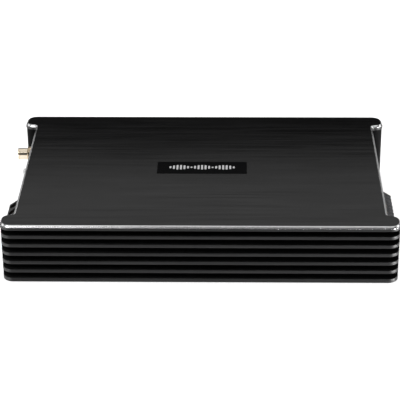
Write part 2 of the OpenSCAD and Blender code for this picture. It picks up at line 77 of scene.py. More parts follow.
class Tree:
    """A small helper that adds and links shader nodes."""

    def __init__(self, tree: bpy.types.NodeTree) -> None:
        """Keeps the tree.

        Args:
            tree: The node tree to work in.
        """
        self.tree = tree

    def add(self, kind: str, **values: object) -> bpy.types.Node:
        """Adds a node and sets its own properties.

        Args:
            kind: The node's type, without "ShaderNode".
            **values: Properties of the node.

        Returns:
            The new node.
        """
        node = self.tree.nodes.new("ShaderNode" + kind)
        for name, value in values.items():
            setattr(node, name, value)
        return node

    def link(self, source: bpy.types.NodeSocket, target: bpy.types.NodeSocket) -> None:
        """Links source to target."""
        self.tree.links.new(source, target)

    def noise(self, vector: bpy.types.NodeSocket, scale: float, detail: float = 3.0,
              rough: float = 0.55) -> bpy.types.NodeSocket:
        """Adds a noise texture.

        Args:
            vector: What it reads its place from.
            scale: Its scale, per metre.
            detail: Its octaves.
            rough: How strong the fine octaves are.

        Returns:
            The noise's value.
        """
        node = self.add("TexNoise")
        node.inputs["Scale"].default_value = scale
        node.inputs["Detail"].default_value = detail
        node.inputs["Roughness"].default_value = rough
        self.link(vector, node.inputs["Vector"])
        return node.outputs["Fac"]

    def stretch(self, vector: bpy.types.NodeSocket,
                scale: tuple[float, float, float]) -> bpy.types.NodeSocket:
        """Scales a place by different amounts along X, Y and Z.

        Args:
            vector: The place.
            scale: The three factors.

        Returns:
            The scaled place.
        """
        node = self.add("Mapping")
        node.inputs["Scale"].default_value = scale
        self.link(vector, node.inputs["Vector"])
        return node.outputs["Vector"]

    def remap(self, value: bpy.types.NodeSocket, low: float, high: float,
              to_low: float, to_high: float) -> bpy.types.NodeSocket:
        """Maps low..high to to_low..to_high and clamps it.

        Args:
            value: What is mapped.
            low: Where the output starts.
            high: Where the output ends.
            to_low: The output's start.
            to_high: The output's end.

        Returns:
            The mapped value.
        """
        node = self.add("MapRange")
        node.inputs["From Min"].default_value = low
        node.inputs["From Max"].default_value = high
        node.inputs["To Min"].default_value = to_low
        node.inputs["To Max"].default_value = to_high
        self.link(value, node.inputs["Value"])
        return node.outputs["Result"]

    def math(self, kind: str, a: bpy.types.NodeSocket,
             b: bpy.types.NodeSocket | float) -> bpy.types.NodeSocket:
        """Adds a math node.

        Args:
            kind: The operation, such as "MULTIPLY".
            a: The first value.
            b: The second value, a socket or a number.

        Returns:
            The result.
        """
        node = self.add("Math", operation=kind)
        self.link(a, node.inputs[0])
        if isinstance(b, bpy.types.NodeSocket):
            self.link(b, node.inputs[1])
        else:
            node.inputs[1].default_value = b
        return node.outputs[0]


class EffectLibrary:
    """Builds each shared effect once, as a node group with named inputs and outputs."""

    def __init__(self) -> None:
        """Starts with no groups."""
        self.made: dict[Effect, bpy.types.NodeTree] = {}

    def group(self, effect: Effect) -> bpy.types.NodeTree:
        """Gives the group of an effect, and builds it the first time.

        Args:
            effect: The effect.

        Returns:
            Its node group.
        """
        if effect not in self.made:
            builders: dict[Effect, Callable[[bpy.types.NodeTree], None]] = {
                Effect.BRUSHED: self._brushed,
                Effect.GRAIN: self._grain,
                Effect.HANDLING: self._handling,
                Effect.DUST: self._dust,
            }
            tree = bpy.data.node_groups.new(effect.value, "ShaderNodeTree")
            builders[effect](tree)
            self.made[effect] = tree
        return self.made[effect]

    @staticmethod
    def _sockets(tree: bpy.types.NodeTree, inputs: dict[str, float],
                 outputs: Sequence[str]) -> tuple[Tree, bpy.types.Node, bpy.types.Node]:
        """Adds the place input, the named float inputs and the outputs.

        Args:
            tree: The group.
            inputs: Names and default values of the float inputs.
            outputs: Names of the float outputs.

        Returns:
            The helper, the input node and the output node.
        """
        tree.interface.new_socket("Place", in_out="INPUT", socket_type="NodeSocketVector")
        for name, value in inputs.items():
            socket = tree.interface.new_socket(name, in_out="INPUT", socket_type="NodeSocketFloat")
            socket.default_value = value
        for name in outputs:
            tree.interface.new_socket(name, in_out="OUTPUT", socket_type="NodeSocketFloat")
        return Tree(tree), tree.nodes.new("NodeGroupInput"), tree.nodes.new("NodeGroupOutput")

    def _brushed(self, tree: bpy.types.NodeTree) -> None:
        """Long brush lines along X: a height and a mask of broad and fine streaks."""
        t, given, made = self._sockets(tree, {"Broad": 0.5}, ("Height", "Streaks"))
        place = given.outputs["Place"]
        fine = t.noise(t.stretch(place, (22.0, 2600.0, 2600.0)), 1.0, 2.0, 0.6)
        middle = t.noise(t.stretch(place, (14.0, 900.0, 900.0)), 1.0, 3.0, 0.6)
        broad = t.noise(t.stretch(place, (9.0, 260.0, 260.0)), 1.0, 3.0, 0.65)
        both = t.add("Mix", data_type="FLOAT")
        t.link(given.outputs["Broad"], both.inputs["Factor"])
        t.link(middle, both.inputs[2])
        t.link(broad, both.inputs[3])
        streaks = t.remap(both.outputs[0], 0.34, 0.66, 0.0, 1.0)
        t.link(streaks, made.inputs["Streaks"])
        t.link(t.math("ADD", t.math("MULTIPLY", fine, 0.7), t.math("MULTIPLY", middle, 0.5)),
               made.inputs["Height"])

    def _grain(self, tree: bpy.types.NodeTree) -> None:
        """Fine moulding or blasting grain: a height and a mask."""
        t, given, made = self._sockets(tree, {"Scale": 2500.0}, ("Height", "Mottle"))
        fine = t.add("TexNoise")
        fine.inputs["Detail"].default_value = 2.0
        t.link(given.outputs["Place"], fine.inputs["Vector"])
        t.link(given.outputs["Scale"], fine.inputs["Scale"])
        cells = t.add("TexVoronoi")
        t.link(given.outputs["Place"], cells.inputs["Vector"])
        t.link(given.outputs["Scale"], cells.inputs["Scale"])
        t.link(t.math("ADD", fine.outputs["Fac"], t.math("MULTIPLY", cells.outputs["Distance"], 0.4)),
               made.inputs["Height"])
        t.link(t.remap(t.noise(given.outputs["Place"], 180.0), 0.35, 0.65, 0.0, 1.0),
               made.inputs["Mottle"])

    def _handling(self, tree: bpy.types.NodeTree) -> None:
        """Soft cloudy patches, as left by hands and cloths."""
        t, given, made = self._sockets(tree, {"Scale": 22.0}, ("Clouds",))
        clouds = t.add("TexNoise")
        clouds.inputs["Detail"].default_value = 4.0
        clouds.inputs["Distortion"].default_value = 0.6
        t.link(given.outputs["Place"], clouds.inputs["Vector"])
        t.link(given.outputs["Scale"], clouds.inputs["Scale"])
        t.link(t.remap(clouds.outputs["Fac"], 0.35, 0.68, 0.0, 1.0), made.inputs["Clouds"])

    def _dust(self, tree: bpy.types.NodeTree) -> None:
        """Specks of dust that lie on what faces up."""
        t, given, made = self._sockets(tree, {"Amount": 0.5}, ("Specks",))
        place = t.add("NewGeometry")
        split = t.add("SeparateXYZ")
        t.link(place.outputs["Normal"], split.inputs["Vector"])
        up = t.remap(split.outputs["Z"], 0.6, 1.0, 0.0, 1.0)
        specks = t.remap(t.noise(given.outputs["Place"], 1400.0, 2.0), 0.66, 0.78, 0.0, 1.0)
        both = t.math("MULTIPLY", up, specks)
        t.link(t.math("MULTIPLY", both, given.outputs["Amount"]), made.inputs["Specks"])


EFFECTS = EffectLibrary()


# ---------------------------------------------------------------- finishes


@dataclass(frozen=True)
class Finish:
    """A finish with cloudy variation of colour and roughness over a fine grain.

    Attributes:
        name: The material's name.
        base: Base colour.
        worn: Colour where it is handled or mottled.
        rough: Lowest and highest roughness.
        metallic: 1 for bare metal.
        grain: Grain scale per metre.
        grain_depth: Height of the grain, in metres.
        specular: Specular level.
        coat: Weight of a clear coat.
        dust: Amount of settled dust.
        glow: Light it gives off by itself.
    """

    name: str
    base: Colour
    worn: Colour
    rough: tuple[float, float] = (0.35, 0.5)
    metallic: float = 0.0
    grain: float = 2500.0
    grain_depth: float = 0.00002
    specular: float = 0.5
    coat: float = 0.0
    dust: float = 0.0
    glow: float = 0.0

    def start(self) -> tuple[Tree, bpy.types.Node, bpy.types.NodeSocket, bpy.types.Material]:
        """Makes an empty material with its shader.

        Returns:
            The helper, the shader, the place socket and the material.
        """
        material = bpy.data.materials.new(self.name)
        material.use_nodes = True
        t = Tree(material.node_tree)
        shader = next(n for n in material.node_tree.nodes if n.type == "BSDF_PRINCIPLED")
        shader.inputs["Metallic"].default_value = self.metallic
        shader.inputs["Specular IOR Level"].default_value = self.specular
        shader.inputs["Coat Weight"].default_value = self.coat
        shader.inputs["Coat Roughness"].default_value = 0.08
        if self.glow > 0.0:
            shader.inputs["Emission Color"].default_value = (1.0, 1.0, 1.0, 1.0)
            shader.inputs["Emission Strength"].default_value = self.glow
        place = t.add("TexCoord").outputs["Object"]
        material.diffuse_color = (*self.base, 1.0)
        return t, shader, place, material

    @staticmethod
    def place_effect(t: Tree, effect: Effect, place: bpy.types.NodeSocket,
                     **values: float) -> bpy.types.Node:
        """Places a shared effect in a material.

        Args:
            t: The material's tree.
            effect: The effect.
            place: What it reads its place from.
            **values: The effect's inputs.

        Returns:
            The group node.
        """
        node = t.add("Group", node_tree=EFFECTS.group(effect))
        t.link(place, node.inputs["Place"])
        for name, value in values.items():
            node.inputs[name].default_value = value
        return node

    @staticmethod
    def blend_colours(t: Tree, mask: bpy.types.NodeSocket,
                      a: Colour | bpy.types.NodeSocket, b: Colour) -> bpy.types.NodeSocket:
        """Blends colour a to b by a mask.

        Args:
            t: The material's tree.
            mask: 0 for a, 1 for b.
            a: The first colour.
            b: The second colour.

        Returns:
            The blended colour.
        """
        mix = t.add("Mix", data_type="RGBA")
        t.link(mask, mix.inputs["Factor"])
        if isinstance(a, bpy.types.NodeSocket):
            t.link(a, mix.inputs[6])
        else:
            mix.inputs[6].default_value = (*a, 1.0)
        mix.inputs[7].default_value = (*b, 1.0)
        return mix.outputs[2]

    @staticmethod
    def raise_surface(t: Tree, shader: bpy.types.Node, height: bpy.types.NodeSocket,
                      depth: float) -> None:
        """Feeds a height through a bump node to the shader.

        Args:
            t: The material's tree.
            shader: The shader.
            height: The height mask.
            depth: How deep it is, in metres.
        """
        bump = t.add("Bump")
        bump.inputs["Distance"].default_value = depth
        bump.inputs["Strength"].default_value = 1.0
        t.link(height, bump.inputs["Height"])
        t.link(bump.outputs["Normal"], shader.inputs["Normal"])

    def material(self) -> bpy.types.Material:
        """Builds the material.

        Returns:
            The material.
        """
        t, shader, place, material = self.start()
        marks = self.place_effect(t, Effect.HANDLING, place)
        grain = self.place_effect(t, Effect.GRAIN, place, Scale=self.grain)
        both = t.math("MULTIPLY", t.math("ADD", marks.outputs["Clouds"], grain.outputs["Mottle"]), 0.5)
        colour = self.blend_colours(t, both, self.base, self.worn)
        if self.dust > 0.0:
            dust = self.place_effect(t, Effect.DUST, place, Amount=self.dust)
            colour = self.blend_colours(t, dust.outputs["Specks"], colour, (0.35, 0.34, 0.32))
        t.link(colour, shader.inputs["Base Color"])
        t.link(t.remap(both, 0.0, 1.0, *self.rough), shader.inputs["Roughness"])
        self.raise_surface(t, shader, grain.outputs["Height"], self.grain_depth)
        return material


@dataclass(frozen=True)
class BrushedFinish(Finish):
    """Metal brushed along X, bare or under a thin dark anodised layer.

    Attributes:
        broad: Share of the broad streaks against the narrow ones.
        line_depth: Depth of the brush lines, in metres.
        anisotropic: How strongly highlights stretch across the lines.
        shine: Specular level between and on the streaks.
        side_shine: Specular level of the parts that face left or right, if it differs.
        sides: Colour of the parts that face left or right, if it differs: a painted shade, darker than the
            rest.
        side_shade_within: That painted shade is used only this near to the middle, in metres along X.
    """

    broad: float = 0.5
    line_depth: float = 0.00002
    anisotropic: float = 0.5
    shine: tuple[float, float] = (0.45, 0.55)
    side_shine: float | None = None
    sides: Colour | None = None
    side_shade_within: float = 1.0

    def material(self) -> bpy.types.Material:
        """Builds the material.

        Returns:
            The material.
        """
        t, shader, place, material = self.start()
        shader.inputs["Anisotropic"].default_value = self.anisotropic
        facing = t.add("NewGeometry").outputs["Normal"]
        across = t.add("VectorMath", operation="CROSS_PRODUCT")
        t.link(facing, across.inputs[0])
        across.inputs[1].default_value = (1.0, 0.0, 0.0)
        t.link(across.outputs["Vector"], shader.inputs["Tangent"])
        lines = self.place_effect(t, Effect.BRUSHED, place, Broad=self.broad)
        marks = self.place_effect(t, Effect.HANDLING, place)
        streaks = lines.outputs["Streaks"]
        colour = self.blend_colours(t, streaks, self.base, self.worn)
        if self.dust > 0.0:
            dust = self.place_effect(t, Effect.DUST, place, Amount=self.dust)
            colour = self.blend_colours(t, dust.outputs["Specks"], colour, (0.2, 0.2, 0.2))
        split = t.add("SeparateXYZ")
        t.link(facing, split.inputs["Vector"])
        sideways = t.math("ABSOLUTE", split.outputs["X"], 0.0)
        # Painted shade: faces that turn left or right near the middle, the bevel along the recessed ends,
        # take the darker sides colour.
        if self.sides is not None:
            where = t.add("SeparateXYZ")
            t.link(place, where.inputs["Vector"])
            reach = t.math("ABSOLUTE", where.outputs["X"], 0.0)
            inside = t.remap(reach, self.side_shade_within - 0.0004, self.side_shade_within + 0.0004, 1.0, 0.0)
            mask = t.math("MULTIPLY", t.remap(sideways, 0.58, 0.68, 0.0, 1.0), inside)
            colour = self.blend_colours(t, mask, colour, self.sides)
        t.link(colour, shader.inputs["Base Color"])
        spread = t.math("ADD", t.math("MULTIPLY", streaks, 0.75),
                        t.math("MULTIPLY", marks.outputs["Clouds"], 0.25))
        t.link(t.remap(spread, 0.0, 1.0, *self.rough), shader.inputs["Roughness"])
        shine = t.remap(streaks, 0.0, 1.0, *self.shine)
        if self.side_shine is not None:
            mix = t.add("Mix", data_type="FLOAT")
            t.link(t.remap(sideways, 0.05, 0.6, 0.0, 1.0), mix.inputs["Factor"])
            t.link(shine, mix.inputs[2])
            mix.inputs[3].default_value = self.side_shine
            shine = mix.outputs[0]
        t.link(shine, shader.inputs["Specular IOR Level"])
        self.raise_surface(t, shader, lines.outputs["Height"], self.line_depth)
        return material


@dataclass(frozen=True)
class ClearFinish(Finish):
    """Tinted clear plastic, such as a fuse body or a light pipe.

    Attributes:
        transmission: How much light passes.
    """

    transmission: float = 0.6

    def material(self) -> bpy.types.Material:
        """Builds the material.

        Returns:
            The material.
        """
        material = super().material()
        shader = next(n for n in material.node_tree.nodes if n.type == "BSDF_PRINCIPLED")
        shader.inputs["Transmission Weight"].default_value = self.transmission
        shader.inputs["IOR"].default_value = 1.49
        return material


class Palette:
    """Every finish of the amplifier, each built once."""

    ANODISED_TOP = BrushedFinish("anodised_top", (0.002, 0.002, 0.0021), (0.008, 0.008, 0.0083),
                                 rough=(0.17, 0.25), broad=0.1, line_depth=0.000005,
                                 shine=(0.24, 0.54), anisotropic=0.0, dust=0.02)
    ANODISED_FINS = BrushedFinish("anodised_fins", (0.003, 0.003, 0.0033), (0.008, 0.008, 0.0083),
                                  rough=(0.40, 0.5), broad=0.3, line_depth=0.00002,
                                  shine=(0.34, 0.46), side_shine=0.95, anisotropic=0.85)
    # Painted shade: a darker, barely reflective copy of the anodised metal, laid on the walls behind the
    # fins, under the top plate and in the badge's pocket.
    ANODISED_WALL_PAINTED_SHADE = Finish("anodised_wall_painted_shade", (0.001, 0.001, 0.0012), (0.003, 0.003, 0.0032),
                           rough=(0.45, 0.6), grain=3000.0, grain_depth=0.00001, specular=0.06)
    # Bright machined bevel; along the recessed ends it carries a painted shade, the darker sides colour.
    BRIGHT_CUT = BrushedFinish("bright_cut_edge", (0.82, 0.82, 0.83), (0.95, 0.95, 0.96),
                               rough=(0.22, 0.3), metallic=1.0, broad=0.2, line_depth=0.000001,
                               anisotropic=0.4, sides=(0.07, 0.07, 0.072), side_shade_within=0.1232)
    PAINTED_SHEET = Finish("painted_sheet", (0.012, 0.012, 0.013), (0.022, 0.022, 0.023),
                           rough=(0.42, 0.6), grain=2200.0, grain_depth=0.00003, dust=0.1)
    BADGE_BLACK = Finish("badge_black", (0.002, 0.002, 0.0025), (0.004, 0.004, 0.0045),
                         rough=(0.22, 0.3), grain=4000.0, grain_depth=0.000004, specular=0.02)
    BADGE_WHITE = Finish("badge_white", (0.92, 0.92, 0.93), (0.86, 0.86, 0.87),
                         rough=(0.35, 0.5), grain=4000.0, grain_depth=0.000004)
    BLACK_PLASTIC = Finish("black_plastic", (0.012, 0.012, 0.013), (0.026, 0.026, 0.027),
                           rough=(0.38, 0.55), grain=2600.0, grain_depth=0.00003, dust=0.15)
    GREY_PLASTIC = Finish("grey_black_plastic", (0.022, 0.022, 0.024), (0.040, 0.040, 0.042),
                          rough=(0.34, 0.5), grain=2600.0, grain_depth=0.00003, dust=0.15)
    WHITE_PLASTIC = Finish("white_plastic", (0.80, 0.79, 0.76), (0.70, 0.69, 0.65),
                           rough=(0.3, 0.45), grain=2600.0, grain_depth=0.00002)
    GOLD_PLATE = Finish("gold_plate", (0.90, 0.80, 0.66), (0.78, 0.67, 0.52),
                        rough=(0.14, 0.3), metallic=1.0, grain=3000.0, grain_depth=0.000006)
    BRASS = Finish("brass", (0.62, 0.44, 0.18), (0.42, 0.28, 0.11),
                   rough=(0.25, 0.45), metallic=1.0, grain=3000.0, grain_depth=0.00002)
    STEEL = Finish("zinc_steel", (0.55, 0.55, 0.57), (0.40, 0.40, 0.42),
                   rough=(0.25, 0.42), metallic=1.0, grain=3000.0, grain_depth=0.00002)
    BLACK_STEEL = Finish("black_zinc_steel", (0.05, 0.05, 0.055), (0.09, 0.09, 0.095),
                         rough=(0.28, 0.42), metallic=1.0, grain=3000.0, grain_depth=0.00002)
    SATIN_SILVER = Finish("satin_silver", (0.80, 0.80, 0.79), (0.68, 0.68, 0.68),
                          rough=(0.25, 0.4), metallic=1.0, grain=2600.0, grain_depth=0.00002)
    GREEN_MASK = Finish("green_solder_mask", (0.008, 0.07, 0.03), (0.012, 0.10, 0.04),
                        rough=(0.2, 0.35), grain=1500.0, grain_depth=0.00002, coat=0.4)
    BLUE_MASK = Finish("blue_solder_mask", (0.006, 0.04, 0.10), (0.010, 0.06, 0.14),
                       rough=(0.2, 0.35), grain=1500.0, grain_depth=0.00002, coat=0.4)
    BLUE_PLASTIC = Finish("blue_plastic", (0.02, 0.08, 0.20), (0.03, 0.11, 0.26),
                          rough=(0.3, 0.45), grain=2600.0, grain_depth=0.00002)
    FERRITE = Finish("ferrite", (0.045, 0.05, 0.048), (0.08, 0.085, 0.08),
                     rough=(0.5, 0.7), grain=1800.0, grain_depth=0.00005)
    COPPER = Finish("enamelled_copper", (0.62, 0.24, 0.08), (0.48, 0.17, 0.05),
                    rough=(0.2, 0.35), metallic=1.0, grain=3000.0, grain_depth=0.00001, coat=0.5)
    SILICONE = Finish("silicone_pad", (0.20, 0.33, 0.42), (0.26, 0.40, 0.50),
                      rough=(0.6, 0.75), grain=1200.0, grain_depth=0.00004)
    SLEEVE = Finish("printed_sleeve", (0.015, 0.02, 0.05), (0.03, 0.035, 0.07),
                    rough=(0.3, 0.45), grain=900.0, grain_depth=0.00002)
    MILL_ALUMINIUM = BrushedFinish("mill_aluminium", (0.55, 0.55, 0.57), (0.70, 0.70, 0.72),
                                   rough=(0.3, 0.5), metallic=1.0, line_depth=0.00002)
    AMBER = ClearFinish("amber_plastic", (0.90, 0.32, 0.02), (0.85, 0.26, 0.01),
                        rough=(0.1, 0.2), grain=3000.0, grain_depth=0.000005)
    LIGHT_PIPE = ClearFinish("blue_light_pipe", (0.25, 0.45, 0.95), (0.20, 0.38, 0.90),
                             rough=(0.12, 0.2), grain=3000.0, grain_depth=0.000005)

    def __init__(self) -> None:
        """Starts with no materials."""
        self.made: dict[str, bpy.types.Material] = {}

    def get(self, finish: Finish) -> bpy.types.Material:
        """Gives a finish's material, and builds it the first time.

        Args:
            finish: The finish.

        Returns:
            Its material.
        """
        if finish.name not in self.made:
            self.made[finish.name] = finish.material()
        return self.made[finish.name]


PALETTE = Palette()


# ---------------------------------------------------------------- mesh building


def arc(cx: float, cy: float, radius: float, start: float, end: float,
        steps: int = 12) -> list[Point2]:
    """Points of an arc.

    Args:
        cx: Centre along the first axis.
        cy: Centre along the second axis.
        radius: Radius.
        start: First angle, in degrees.
        end: Last angle, in degrees.
        steps: Number of segments.

    Returns:
        The points, ends included.
    """
    turn = [math.radians(start + (end - start) * i / steps) for i in range(steps + 1)]
    return [(cx + radius * math.cos(a), cy + radius * math.sin(a)) for a in turn]


class Sketch:
    """A mesh under construction, in millimetres, with a finish per face."""

    def __init__(self) -> None:
        """Starts empty."""
        self.points: list[Vector] = []
        self.faces: list[tuple[tuple[int, ...], int, bool]] = []

    def add_points(self, points: Iterable[Sequence[float]]) -> list[int]:
        """Adds points.

        Args:
            points: The points.

        Returns:
            Their numbers.
        """
        first = len(self.points)
        self.points.extend(Vector(p) for p in points)
        return list(range(first, len(self.points)))

    def face(self, corners: Sequence[int], finish: int = 0, smooth: bool = False) -> None:
        """Adds a face by its corner numbers."""
        self.faces.append((tuple(corners), finish, smooth))

    def band(self, low: Sequence[int], high: Sequence[int], finish: int = 0,
             smooth: bool = True) -> None:
        """Joins two closed rings of as many points with quads.

        Args:
            low: The first ring.
            high: The second ring.
            finish: The finish's number.
            smooth: Whether the band is shaded smooth.
        """
        count = len(low)
        for i in range(count):
            j = (i + 1) % count
            self.face((low[i], low[j], high[j], high[i]), finish, smooth)

    def cap(self, rim: Sequence[int], holes: Sequence[Sequence[int]] = (), finish: int = 0,
            up: bool = True) -> None:
        """Fills a flat ring, with holes left open.

        Args:
            rim: The outer ring, anticlockwise seen from above.
            holes: Inner rings.
            finish: The finish's number.
            up: Whether the face looks along the rim's own normal.
        """
        rings = [list(rim), *[list(h) for h in holes]]
        numbers = [n for ring in rings for n in ring]
        for a, b, c in tessellate_polygon([[self.points[n] for n in ring] for ring in rings]):
            corners = [numbers[a], numbers[b], numbers[c]]
            p, q, r = (self.points[n] for n in corners)
            normal = (q - p).cross(r - p)
            if (normal.z < 0) == up:
                corners.reverse()
            self.face(corners, finish)

    def rings(self, outline: Callable[[float], list[Point2]], levels: Sequence[Point2],
              finishes: Sequence[int]) -> list[list[int]]:
        """Stacks an outline at several heights.

        Args:
            outline: Gives the outline set in by a distance.
            levels: Pairs of height and inset, from below up.
            finishes: The finish of each band between two levels.

        Returns:
            The rings' point numbers.
        """
        made = [self.add_points((x, y, z) for x, y in outline(inset)) for z, inset in levels]
        for low, high, finish in zip(made, made[1:], finishes):
            self.band(low, high, finish)
        return made

    def prism(self, outline: Callable[[float], list[Point2]], low: float, high: float,
              soft: float, finish: int = 0) -> None:
        """A closed plate with softened upper and lower edges.

        Args:
            outline: Gives the outline set in by a distance.
            low: Its lower height.
            high: Its upper height.
            soft: The size of the softened edge.
            finish: The finish's number.
        """
        levels = [(low, soft), (low + 0.3 * soft, 0.3 * soft), (low + soft, 0.0),
                  (high - soft, 0.0), (high - 0.3 * soft, 0.3 * soft), (high, soft)]
        made = self.rings(outline, levels, [finish] * (len(levels) - 1))
        self.cap(made[0], finish=finish, up=False)
        self.cap(made[-1], finish=finish, up=True)

    def circle(self, place: Matrix, radius: float, height: float, steps: int) -> list[int]:
        """Adds a ring of points round the local Z axis.

        Args:
            place: Where the ring's axis goes, in millimetres.
            radius: Radius.
            height: Height along the axis.
            steps: Number of points.

        Returns:
            The points' numbers.
        """
        turn = [2 * math.pi * i / steps for i in range(steps)]
        return self.add_points(
            place @ Vector((radius * math.cos(a), radius * math.sin(a), height)) for a in turn)

    def lathe(self, profile: Sequence[Point2], place: Matrix, steps: int) -> None:
        """Turns a profile round the local Z axis.

        Args:
            profile: Pairs of radius and height.
            place: Where the turned piece goes, in millimetres.
            steps: Segments round the axis.
        """
        rings = [self.circle(place, radius, height, steps) for radius, height in profile]
        for low, high in zip(rings, rings[1:]):
            self.band(low, high)

    def build(self, name: str, finishes: Sequence[Finish], sharp: float = 28.0) -> bpy.types.Object:
        """Makes the object.

        Args:
            name: Its name.
            finishes: The finishes, by their numbers.
            sharp: Edges that turn more than this many degrees stay sharp.

        Returns:
            The object, in metres.
        """
        mesh = bpy.data.meshes.new(name)
        work = bmesh.new()
        corners = [work.verts.new(p * MM) for p in self.points]
        for numbers, finish, smooth in self.faces:
            if len(set(numbers)) < 3:
                continue
            made = work.faces.new([corners[n] for n in numbers])
            made.material_index = finish
            made.smooth = smooth
        bmesh.ops.remove_doubles(work, verts=work.verts, dist=1e-7)
        bmesh.ops.recalc_face_normals(work, faces=work.faces)
        for edge in work.edges:
            if len(edge.link_faces) == 2:
                edge.smooth = edge.calc_face_angle(0.0) < math.radians(sharp)
        work.to_mesh(mesh)
        work.free()
        for finish in finishes:
            mesh.materials.append(PALETTE.get(finish))
        made_object = bpy.data.objects.new(name, mesh)
        bpy.context.scene.collection.objects.link(made_object)
        return made_object


def stand_for(piece: bpy.types.Object, body: str, slot: str, *nodes: str) -> bpy.types.Object:
    """Puts a piece on its body in place of its CAD nodes.

    Args:
        piece: The piece.
        body: The body it moves with.
        slot: The name of a record's slot; not used.
        *nodes: The CAD nodes it stands for.

    Returns:
        The piece.
    """
    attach(piece, body)
    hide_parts(*nodes)
    LOG.info("piece %s stands for %s", piece.name, ", ".join(nodes))
    return piece


def dress(node: str, finish: Finish, soften: float = 0.0) -> bpy.types.Object:
    """Gives a CAD node its finish and, if asked, softened edges.

    Args:
        node: The CAD node.
        finish: Its finish.
        soften: Width of the softened edges, in millimetres.

    Returns:
        The node's object.
    """
    piece = frame["nodes"][node]
    material = PALETTE.get(finish)
    piece.data.materials.clear()
    piece.data.materials.append(material)
    if soften > 0.0:
        weld = piece.modifiers.new("join", "WELD")
        weld.merge_threshold = 1e-6
        flat = piece.modifiers.new("flatten", "DECIMATE")
        flat.decimate_type = "DISSOLVE"
        flat.angle_limit = math.radians(1.0)
        bevel = piece.modifiers.new("soften", "BEVEL")
        bevel.width = soften * MM
        bevel.segments = 2
        bevel.limit_method = "ANGLE"
        bevel.angle_limit = math.radians(40.0)
        bevel.miter_outer = "MITER_ARC"
        bevel.use_clamp_overlap = True
        weighted = piece.modifiers.new("shade", "WEIGHTED_NORMAL")
        weighted.keep_sharp = True
    LOG.info("node %s dressed in %s", node, finish.name)
    return piece


# ---------------------------------------------------------------- the shell


def box_mm(node: str) -> tuple[Vector, Vector]:
    """Gives a CAD node's box in millimetres.

    Args:
        node: The node.

    Returns:
        Its lowest and highest corner.
    """
    low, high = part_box(node)
    return low / MM, high / MM


